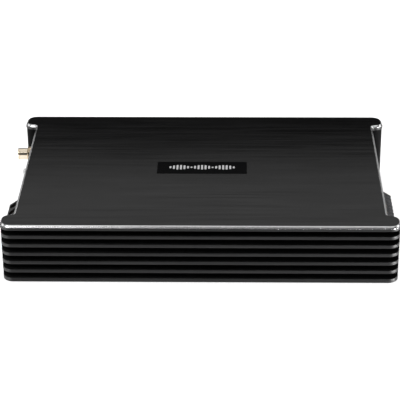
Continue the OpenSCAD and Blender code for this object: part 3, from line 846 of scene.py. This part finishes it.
@dataclass
class FinnedShell:
    """The extruded shell: top plate with a bright bevel, fins front and rear, and two side walls.

    Attributes:
        fins: Number of fins below the top plate.
        groove: Height of a groove.
        pitch: Distance from one fin to the next.
        base_fin: Thickness of the lowest fin.
        groove_depth: Depth of the grooves.
        bevel: Size of the bright bevel.
        lip: How far the top plate stands out over the fins.
        corner: Radius of the outer corners.
        lobe: Radius of the lobes' inner corners.
        fillet: Radius where the lobe runs into the recessed end.
        edge: Size of the softened edges of the fins.
        pocket: Depth of the badge's pocket.
        hole_depth: Depth of the fixing holes.
        half_w: Half the width, from the CAD.
        half_d: Half the depth, from the CAD.
        height: Height, from the CAD.
        end_x: Where the recessed ends lie, from the CAD.
        wall: Inner side of the finned walls, from the CAD.
    """

    fins: int = 6
    groove: float = 3.9
    pitch: float = 6.25
    base_fin: float = 2.9
    groove_depth: float = 8.0
    bevel: float = 1.4
    lip: float = 0.5
    corner: float = 7.5
    lobe: float = 6.0
    fillet: float = 2.0
    edge: float = 0.3
    pocket: float = 0.75
    hole_depth: float = 9.0
    half_w: float = field(init=False)
    half_d: float = field(init=False)
    height: float = field(init=False)
    end_x: float = field(init=False)
    wall: float = field(init=False)

    def __post_init__(self) -> None:
        """Reads the overall sizes from the CAD nodes."""
        _, high = box_mm("heatsink_shell")
        self.half_w, self.half_d, self.height = high
        _, panel = box_mm("right_end_panel")
        self.end_x = panel.x + 1.0
        self.wall = panel.y + 0.2

    @property
    def lip_low(self) -> float:
        """Height of the top plate's lower edge."""
        return self.base_fin + (self.fins - 1) * self.pitch + self.groove

    def plate_outline(self, inset: float) -> list[Point2]:
        """Dog-bone outline of the top plate.

        Args:
            inset: How far it is set in.

        Returns:
            The outline, anticlockwise.
        """
        cx, cy = self.half_w - self.corner, self.half_d - self.corner
        lx, ly = self.half_w - self.lobe, self.wall + self.lobe
        fx, fy = self.end_x + self.fillet, self.wall - self.fillet
        quarter = arc(cx, -cy, self.corner - inset, -90, 0, 14)
        quarter += arc(lx, -ly, self.lobe - inset, 0, 90, 12)
        quarter += arc(fx, -fy, self.fillet + inset, 270, 180, 8)[1:]
        right = quarter + [(x, -y) for x, y in reversed(quarter)]
        return right + [(-x, y) for x, y in reversed(right)]

    def fin_outline(self, inset: float) -> list[Point2]:
        """Outline of a front fin; its inner edge is buried in the wall.

        Args:
            inset: How far it is set in.

        Returns:
            The outline, anticlockwise.
        """
        cx, cy = self.half_w - self.corner, self.half_d - self.corner
        radius = self.corner - self.lip - inset
        inner = self.half_d - self.groove_depth - 1.0
        left = [(-cx - radius, -inner)] + arc(-cx, -cy, radius, 180, 270, 14)
        return left + [(-x, y) for x, y in reversed(left)]

    def wall_outline(self, inset: float) -> list[Point2]:
        """Outline of the front wall behind the fins, with the rounded inner sides of its lobes.

        Args:
            inset: How far it is set in.

        Returns:
            The outline, anticlockwise.
        """
        radius = self.lobe - self.lip - inset
        lx, ly = self.half_w - self.lobe, self.wall + 0.05 + self.lobe - self.lip
        outer = self.half_d - self.groove_depth
        right = [(lx + radius, -outer)] + arc(lx, -ly, radius, 0, 90, 12)
        return right + [(-x, y) for x, y in reversed(right)]

    @staticmethod
    def turned(outline: Callable[[float], list[Point2]]) -> Callable[[float], list[Point2]]:
        """Gives the same outline for the rear.

        Args:
            outline: A front outline.

        Returns:
            The outline turned half round.
        """
        return lambda inset: [(-x, -y) for x, y in outline(inset)]

    def top_plate(self, sketch: Sketch) -> None:
        """Builds the top plate with its bevel and the badge's pocket."""
        low, high = self.lip_low, self.height
        levels = [(low, 0.3), (low + 0.1, 0.1), (low + 0.3, 0.0), (high - self.bevel - 0.06, 0.0),
                  (high - self.bevel + 0.04, 0.04), (high - 0.04, self.bevel - 0.04),
                  (high, self.bevel + 0.06)]
        rings = sketch.rings(self.plate_outline, levels, [1, 1, 1, 2, 2, 2])
        # Finish 3, the darker anodised copy, paints shade under the top plate and in the badge's pocket.
        sketch.cap(rings[0], finish=3, up=False)
        inlay, _ = box_mm("badge_inlay")
        w, d = -inlay.x + 0.1, -inlay.y + 0.1
        plan = [(-w, -d), (w, -d), (w, d), (-w, d)]
        rim = sketch.add_points((x, y, high) for x, y in plan)
        foot = sketch.add_points((x, y, high - self.pocket) for x, y in plan)
        sketch.cap(rings[-1], [rim], finish=0)
        sketch.band(foot, rim, 3, False)
        sketch.cap(foot, finish=3)

    def wall_with_holes(self, sketch: Sketch, outline: Callable[[float], list[Point2]],
                        side: float) -> None:
        """Builds one wall, open to its fixing holes below.

        Args:
            sketch: The mesh.
            outline: The wall's outline.
            side: -1 for the front, 1 for the rear.
        """
        # Finish 3, the darker anodised copy, paints shade on the wall behind the fins and in its fixing
        # holes.
        rings = sketch.rings(outline, [(0.0, 0.3), (0.1, 0.1), (0.3, 0.0), (self.lip_low + 0.2, 0.0)],
                             [3, 3, 3])
        mounts = frame["record"].get("mounts", [])
        bolts = next(m for m in mounts if m["name"] == "fixing_holes")["dims"]
        mouths = []
        for x in (-bolts["spacing_x_mm"] / 2, bolts["spacing_x_mm"] / 2):
            plan = arc(x, side * bolts["spacing_y_mm"] / 2, bolts["hole_r_mm"], 0, 360, 24)[:-1]
            mouth = sketch.add_points((px, py, 0.0) for px, py in plan)
            end = sketch.add_points((px, py, self.hole_depth) for px, py in plan)
            sketch.band(mouth, end, 3)
            sketch.cap(end, finish=3, up=False)
            mouths.append(mouth)
        sketch.cap(rings[0], mouths, finish=3, up=False)
        sketch.cap(rings[-1], finish=3)

    def build(self) -> bpy.types.Object:
        """Builds the shell.

        Returns:
            The shell.
        """
        sketch = Sketch()
        self.top_plate(sketch)
        for side, turn in ((-1.0, lambda o: o), (1.0, self.turned)):
            self.wall_with_holes(sketch, turn(self.wall_outline), side)
            sketch.prism(turn(self.fin_outline), 0.0, self.base_fin, self.edge, 1)
            for i in range(1, self.fins):
                low = self.base_fin + (i - 1) * self.pitch + self.groove
                sketch.prism(turn(self.fin_outline), low, self.base_fin + i * self.pitch, self.edge, 1)
        return sketch.build("finned_shell", (Palette.ANODISED_TOP, Palette.ANODISED_FINS,
                                             Palette.BRIGHT_CUT, Palette.ANODISED_WALL_PAINTED_SHADE))

    def dress(self) -> None:
        """Builds the shell, puts it in place and finishes the covers that close it."""
        stand_for(self.build(), "chassis", "heatsink_shell", "heatsink_shell")
        dress("base_cover", Palette.PAINTED_SHEET)
        dress("left_end_panel", Palette.PAINTED_SHEET, 0.15)
        dress("right_end_panel", Palette.PAINTED_SHEET, 0.15)
        for node in ("left_panel_screws", "right_panel_screws", "base_screws"):
            dress(node, Palette.BLACK_STEEL)


@dataclass
class Badge:
    """The dark plate let into the top, with its plain row of level bars.

    Attributes:
        corner: Radius of the plate's corners.
        bars: Number of bars.
        bar_w: Width of a bar.
    """

    corner: float = 0.6
    bars: int = 19
    bar_w: float = 1.4

    def plate(self) -> bpy.types.Object:
        """Builds the plate.

        Returns:
            The plate.
        """
        low, high = box_mm("badge_inlay")

        def outline(inset: float) -> list[Point2]:
            """Gives the rounded rectangle set in by a distance."""
            points: list[Point2] = []
            for sx, sy, start in ((1, -1, -90), (1, 1, 0), (-1, 1, 90), (-1, -1, 180)):
                cx, cy = sx * (high.x - self.corner), sy * (high.y - self.corner)
                points += arc(cx, cy, self.corner - 0.8 * inset, start, start + 90, 5)
            return points

        sketch = Sketch()
        sketch.prism(outline, low.z, high.z, 0.12)
        return sketch.build("badge_plate", (Palette.BADGE_BLACK,))

    def emblem(self) -> bpy.types.Object:
        """Builds the bars, each with round ends.

        Returns:
            The bars.
        """
        low, high = box_mm("badge_emblem")
        span = (high.x - low.x - self.bar_w) / (self.bars - 1)
        sketch = Sketch()
        for i in range(self.bars):
            x = low.x + self.bar_w / 2 + i * span
            tall = 1.6 + 5.4 * abs(math.sin(math.pi * 3 * (i + 0.5) / self.bars))
            reach, radius = (tall - self.bar_w) / 2, self.bar_w / 2

            def outline(inset: float, x: float = x, reach: float = reach,
                        radius: float = radius) -> list[Point2]:
                """Gives one bar's outline set in by a distance."""
                return (arc(x, reach, radius - inset, 0, 180, 8)
                        + arc(x, -reach, radius - inset, 180, 360, 8))

            sketch.prism(outline, low.z, high.z, 0.06)
        return sketch.build("badge_bars", (Palette.BADGE_WHITE,))

    def dress(self) -> None:
        """Builds the plate and its bars and puts them in place."""
        stand_for(self.plate(), "chassis", "badge_inlay", "badge_inlay")
        stand_for(self.emblem(), "chassis", "badge_emblem", "badge_emblem")


# ---------------------------------------------------------------- the two ends


class End(Enum):
    """The two ends of the amplifier, with the direction that leads out of each."""

    LEFT = -1.0
    RIGHT = 1.0

    def outward(self, x: float, y: float, z: float) -> Matrix:
        """Gives a place whose local Z axis leads out of this end.

        Args:
            x: The place along X, in millimetres.
            y: The place along Y, in millimetres.
            z: The height, in millimetres.

        Returns:
            The place.
        """
        turn = Matrix.Rotation(self.value * math.pi / 2, 4, "Y")
        return Matrix.Translation((x, y, z)) @ turn


@dataclass
class SignalJack:
    """The gold signal jack: hexagonal collar with a threaded neck, barrel, insulator and contact.

    Attributes:
        neck: Radius of the barrel inside the collar.
        barrel: Radius of the barrel.
        bore: Inner radius of the barrel.
        thread: Depth of the collar's thread.
        thread_pitch: Distance from one turn of the thread to the next.
        collar: Radius of the collar's threaded neck.
        foot: Height of the collar's hexagonal foot.
        steps: Segments round the collar, a multiple of the six sides of its foot.
    """

    neck: float = 3.9
    barrel: float = 4.15
    bore: float = 3.3
    thread: float = 0.16
    thread_pitch: float = 0.42
    collar: float = 5.4
    foot: float = 2.6
    steps: int = 48

    def build_barrel(self) -> bpy.types.Object:
        """Turns the barrel with its rolled front edge.

        Returns:
            The barrel.
        """
        low, high = box_mm("rca_shell")
        length = high.x - low.x
        place = End.LEFT.outward(high.x, (low.y + high.y) / 2, (low.z + high.z) / 2)
        out, tip = self.barrel, length
        profile = [(self.bore, 0.0), (self.neck, 0.0), (self.neck, 13.0), (out - 0.1, 13.05), (out, 13.2),
                   (out, tip - 1.5), (out - 0.12, tip - 1.4), (out - 0.12, tip - 1.1), (out, tip - 1.0),
                   (out, tip - 0.35), (out - 0.12, tip - 0.1), (out - 0.35, tip), (self.bore + 0.25, tip),
                   (self.bore, tip - 0.25), (self.bore, 0.0)]
        sketch = Sketch()
        sketch.lathe(profile, place, 64)
        return sketch.build("jack_barrel", (Palette.GOLD_PLATE,))

    def build_collar(self) -> bpy.types.Object:
        """Builds the hexagonal foot and turns the threaded neck.

        Returns:
            The collar.
        """
        low, high = box_mm("rca_collar")
        mid_y, mid_z = (low.y + high.y) / 2, (low.z + high.z) / 2
        place = End.LEFT.outward(high.x, mid_y, mid_z)
        hex_r, neck_r, length = (high.z - low.z) / 2, self.collar, high.x - low.x
        inner = self.neck + 0.05
        sketch = Sketch()
        rings = [sketch.circle(place, hex_r - inset, height, 6)
                 for height, inset in ((0.0, 0.0), (self.foot - 0.4, 0.0), (self.foot, 0.35))]
        sketch.band(rings[0], rings[1], smooth=False)
        sketch.band(rings[1], rings[2], smooth=False)
        foot = sketch.circle(place, inner, self.foot, self.steps)
        share = self.steps // 6
        for i in range(self.steps):
            after = foot[(i + 1) % self.steps]
            near, following = ((i + share // 2 + k) // share for k in (0, 1))
            sketch.face((foot[i], after, rings[2][near % 6]))
            if near != following:
                sketch.face((after, rings[2][following % 6], rings[2][near % 6]))
        profile = [(neck_r, self.foot - 0.1)]
        height = self.foot + 0.1
        while height < length - 0.5:
            profile += [(neck_r, height), (neck_r - self.thread, height + 0.18), (neck_r, height + 0.36)]
            height += self.thread_pitch
        profile += [(neck_r - 0.05, length - 0.2), (neck_r - 0.3, length), (inner + 0.2, length),
                    (inner, length - 0.2), (inner, 0.0)]
        sketch.lathe(profile, place, self.steps)
        return sketch.build("jack_collar", (Palette.GOLD_PLATE,), sharp=40.0)

    def dress(self) -> None:
        """Builds the jack and puts it in place."""
        stand_for(self.build_barrel(), "chassis", "rca_shell", "rca_shell")
        stand_for(self.build_collar(), "chassis", "rca_collar", "rca_collar")
        dress("rca_insulator", Palette.WHITE_PLASTIC)
        dress("rca_contact", Palette.GOLD_PLATE)
        dress("rca_body", Palette.BLACK_PLASTIC, 0.3)


@dataclass
class LevelKnob:
    """The knurled silver level knob on its potentiometer.

    Attributes:
        teeth: Number of knurls.
        depth: Depth of a knurl.
        bore: Radius of the opening round the shaft.
    """

    teeth: int = 18
    depth: float = 0.3
    bore: float = 1.6

    def build(self) -> bpy.types.Object:
        """Builds the knob with its knurled rim and slightly dished face.

        Returns:
            The knob.
        """
        low, high = box_mm("level_knob")
        radius, length = (high.y - low.y) / 2, high.x - low.x
        place = End.LEFT.outward(high.x, (low.y + high.y) / 2, (low.z + high.z) / 2)
        steps = self.teeth * 6
        levels = [(0.0, radius - 0.2, 0.0), (0.2, radius, 0.0), (0.9, radius, 0.0), (1.1, radius, 1.0),
                  (length - 0.9, radius, 1.0), (length - 0.45, radius - 0.1, 0.6),
                  (length - 0.12, radius - 0.45, 0.0), (length, radius - 0.9, 0.0)]
        sketch = Sketch()
        rings = []
        for height, r, share in levels:
            ring = []
            for i in range(steps):
                a = 2 * math.pi * i / steps
                cut = share * self.depth * (0.5 - 0.5 * math.cos(a * self.teeth)) ** 2
                ring.append(place @ Vector(((r - cut) * math.cos(a), (r - cut) * math.sin(a), height)))
            rings.append(sketch.add_points(ring))
        for under, over in zip(rings, rings[1:]):
            sketch.band(under, over)
        sketch.band(sketch.circle(place, self.bore, 0.0, steps), rings[0])
        rim = rings[-1]
        centre = sketch.add_points([place @ Vector((0.0, 0.0, length - 0.1))])[0]
        for i in range(steps):
            sketch.face((rim[i], rim[(i + 1) % steps], centre), 0, True)
        return sketch.build("level_knob_turned", (Palette.SATIN_SILVER,), sharp=50.0)

    def dress(self) -> None:
        """Builds the knob and finishes what carries it."""
        stand_for(self.build(), "knob", "level_knob", "level_knob")
        dress("level_shaft", Palette.STEEL)
        dress("level_pot", Palette.BLUE_PLASTIC, 0.3)


@dataclass
class LeftConnectors:
    """The flush sockets and the power terminal of the left end.

    Attributes:
        soften: Width of the moulded edges.
    """

    soften: float = 0.3

    def dress(self) -> None:
        """Finishes the connectors."""
        dress("control_port", Palette.BLACK_PLASTIC, 0.2)
        dress("port_contacts", Palette.GOLD_PLATE)
        dress("signal_header", Palette.BLACK_PLASTIC, 0.2)
        dress("signal_pins", Palette.STEEL)
        dress("power_block", Palette.BLACK_PLASTIC, self.soften)
        dress("power_clamps", Palette.STEEL, 0.1)
        for i in (1, 2, 3):
            dress(f"power_screw_{i}", Palette.BRASS, 0.12)


@dataclass
class RightConnectors:
    """The ribbed speaker plug, fuses, switch and lamp of the right end.

    Attributes:
        soften: Width of the moulded edges.
    """

    soften: float = 0.2

    def dress(self) -> None:
        """Finishes the connectors."""
        dress("speaker_plug", Palette.GREY_PLASTIC, self.soften)
        dress("speaker_plug_screws", Palette.BRASS, 0.08)
        dress("speaker_header", Palette.BLACK_PLASTIC, 0.2)
        dress("speaker_pins", Palette.STEEL)
        dress("fuse_holder", Palette.BLACK_PLASTIC, 0.2)
        for i in (1, 2):
            dress(f"fuse_{i}_cap", Palette.AMBER, 0.25)
            dress(f"fuse_{i}_blades", Palette.STEEL, 0.08)
        dress("mode_switch", Palette.STEEL, 0.15)
        dress("mode_slider", Palette.WHITE_PLASTIC, 0.1)
        dress("power_lamp", Palette.LIGHT_PIPE, 0.15)


@dataclass
class Electronics:
    """Everything inside the casing.

    Attributes:
        soften: Width of the softened edges of the larger parts.
    """

    soften: float = 0.3

    def dress(self) -> None:
        """Finishes the boards, parts and fasteners."""
        dress("main_board", Palette.GREEN_MASK)
        dress("processor_board", Palette.BLUE_MASK)
        dress("processor_chip", Palette.BLACK_PLASTIC, 0.15)
        dress("board_link", Palette.BLACK_PLASTIC, 0.2)
        dress("board_standoffs", Palette.BRASS)
        dress("board_screws", Palette.STEEL)
        dress("transformer_core", Palette.FERRITE, self.soften)
        dress("transformer_winding", Palette.COPPER, 0.25)
        dress("filter_capacitors", Palette.SLEEVE, 0.4)
        dress("output_inductors", Palette.FERRITE, self.soften)
        for side in ("front", "rear"):
            dress(f"{side}_transistors", Palette.BLACK_PLASTIC, 0.2)
            dress(f"{side}_thermal_pad", Palette.SILICONE)
            dress(f"{side}_clamp_bar", Palette.MILL_ALUMINIUM, 0.3)
        dress("clamp_screws", Palette.BLACK_STEEL)


# ---------------------------------------------------------------- studio


@dataclass(frozen=True)
class SoftBox:
    """A soft rectangular lamp.

    Attributes:
        name: Its name.
        place: Where it hangs, in metres.
        aim: What it points at, in metres.
        size: Its width and height, in metres.
        watts: Its power.
    """

    name: str
    place: tuple[float, float, float]
    aim: tuple[float, float, float]
    size: tuple[float, float]
    watts: float

    def build(self) -> bpy.types.Object:
        """Makes the lamp.

        Returns:
            The lamp.
        """
        data = bpy.data.lights.new(self.name, "AREA")
        data.shape = "RECTANGLE"
        data.size, data.size_y = self.size
        data.energy = self.watts
        lamp = bpy.data.objects.new(self.name, data)
        lamp.location = self.place
        aim = Vector(self.aim) - Vector(self.place)
        lamp.rotation_euler = aim.to_track_quat("-Z", "Y").to_euler()
        lamp.visible_camera = False
        bpy.context.scene.collection.objects.link(lamp)
        LOG.info("lamp %s", self.name)
        return lamp


@dataclass
class Studio:
    """Pale floor, soft light and camera.

    Attributes:
        place: Where the camera stands, in metres.
        pitch: How far it looks down, in degrees.
        yaw: How far it looks to the right, in degrees.
        roll: Its roll, in degrees.
        lens: Its focal length, in millimetres.
        half: Half the floor's width, in metres.
        drop: How far the floor lies under the part, in metres.
        lamps: The lamps.
    """

    place: tuple[float, float, float] = (0.0216, -1.01289, 0.53862)
    pitch: float = 27.262
    yaw: float = -1.312
    roll: float = -0.42
    lens: float = 147.5
    half: float = 8.0
    drop: float = 0.0002
    lamps: tuple[SoftBox, ...] = (
        SoftBox("overhead", (0.0, 0.3, 2.2), (0.0, 0.0, 0.0), (2.6, 2.2), 15.0),
        SoftBox("front_top", (0.4, -1.15, 2.0), (0.0, -0.05, 0.03), (2.4, 1.0), 1.5),
        SoftBox("key_left_top", (-1.15, -1.2, 1.9), (0.0, -0.05, 0.03), (1.5, 1.2), 12.5),
        SoftBox("side_right", (1.1, -0.65, 0.02), (0.12, -0.06, 0.02), (0.9, 0.036), 24.0),
        SoftBox("side_left", (-1.05, -0.95, 0.02), (-0.12, -0.06, 0.02), (0.6, 0.036), 3.2),
        SoftBox("front_low", (0.6, -1.5, 0.02), (0.08, -0.09, 0.02), (0.8, 0.036), 2.8),
        SoftBox("corner_left", (-1.3, 0.25, 0.85), (-0.12, -0.08, 0.04), (0.8, 0.6), 1.8),
        SoftBox("corner_right", (1.3, 0.25, 0.85), (0.12, -0.08, 0.04), (0.8, 0.6), 2.2),
        SoftBox("back_panel", (0.0, 0.26, 0.348), (0.0, -0.08, 0.266), (1.0, 0.34), 0.50),
    )

    def floor(self) -> bpy.types.Object:
        """Lays the floor.

        Returns:
            The floor.
        """
        mesh = bpy.data.meshes.new("studio_floor")
        corners = [(x * self.half, y * self.half, -self.drop)
                   for x, y in ((-1, -1), (1, -1), (1, 1), (-1, 1))]
        mesh.from_pydata(corners, [], [(0, 1, 2, 3)])
        floor = bpy.data.objects.new("studio_floor", mesh)
        bpy.context.scene.collection.objects.link(floor)
        finish = Finish("floor_paper", (0.93, 0.93, 0.93), (0.91, 0.91, 0.91), rough=(0.8, 0.9),
                        grain=400.0, grain_depth=0.00002, specular=0.1, glow=0.75)
        mesh.materials.append(PALETTE.get(finish))
        return floor

    def sky(self) -> None:
        """Sets a white surround that stays dark in reflections, so the lamps shape every highlight."""
        world = bpy.data.worlds.new("studio_surround")
        bpy.context.scene.world = world
        world.use_nodes = True
        t = Tree(world.node_tree)
        shade = next(n for n in world.node_tree.nodes if n.type == "BACKGROUND")
        shade.inputs["Color"].default_value = (1.0, 1.0, 1.0, 1.0)
        seen = t.add("LightPath").outputs["Is Camera Ray"]
        t.link(t.remap(seen, 0.0, 1.0, 0.01, 1.0), shade.inputs["Strength"])

    def camera(self) -> bpy.types.Object:
        """Sets up the camera.

        Returns:
            The camera.
        """
        data = bpy.data.cameras.new("studio_camera")
        data.lens = self.lens
        data.sensor_width = 36.0
        data.clip_start, data.clip_end = 0.05, 30.0
        camera = bpy.data.objects.new("studio_camera", data)
        pitch, yaw = math.radians(self.pitch), math.radians(self.yaw)
        ahead = Vector((math.sin(yaw) * math.cos(pitch), math.cos(yaw) * math.cos(pitch), -math.sin(pitch)))
        side = ahead.cross(Vector((0.0, 0.0, 1.0))).normalized()
        upward = side.cross(ahead)
        turn = Matrix((side, upward, -ahead)).transposed()
        roll = Matrix.Rotation(math.radians(self.roll), 3, "Z")
        camera.matrix_world = Matrix.Translation(self.place) @ (turn @ roll).to_4x4()
        bpy.context.scene.collection.objects.link(camera)
        bpy.context.scene.camera = camera
        return camera

    def build(self) -> None:
        """Builds the studio."""
        self.camera()
        self.floor()
        self.sky()
        for lamp in self.lamps:
            lamp.build()
        settings = bpy.context.scene.view_settings
        settings.view_transform = "Standard"
        settings.look = "None"


def main() -> None:
    """Builds every sub-assembly in order, then the studio."""
    logging.basicConfig(level=logging.INFO, format="%(name)s: %(message)s")
    assemblies = (FinnedShell(), Badge(), SignalJack(), LevelKnob(), LeftConnectors(),
                  RightConnectors(), Electronics())
    for assembly in assemblies:
        LOG.info("building %s", type(assembly).__name__)
        assembly.dress()
    Studio().build()


if __name__ == "__main__":
    main()
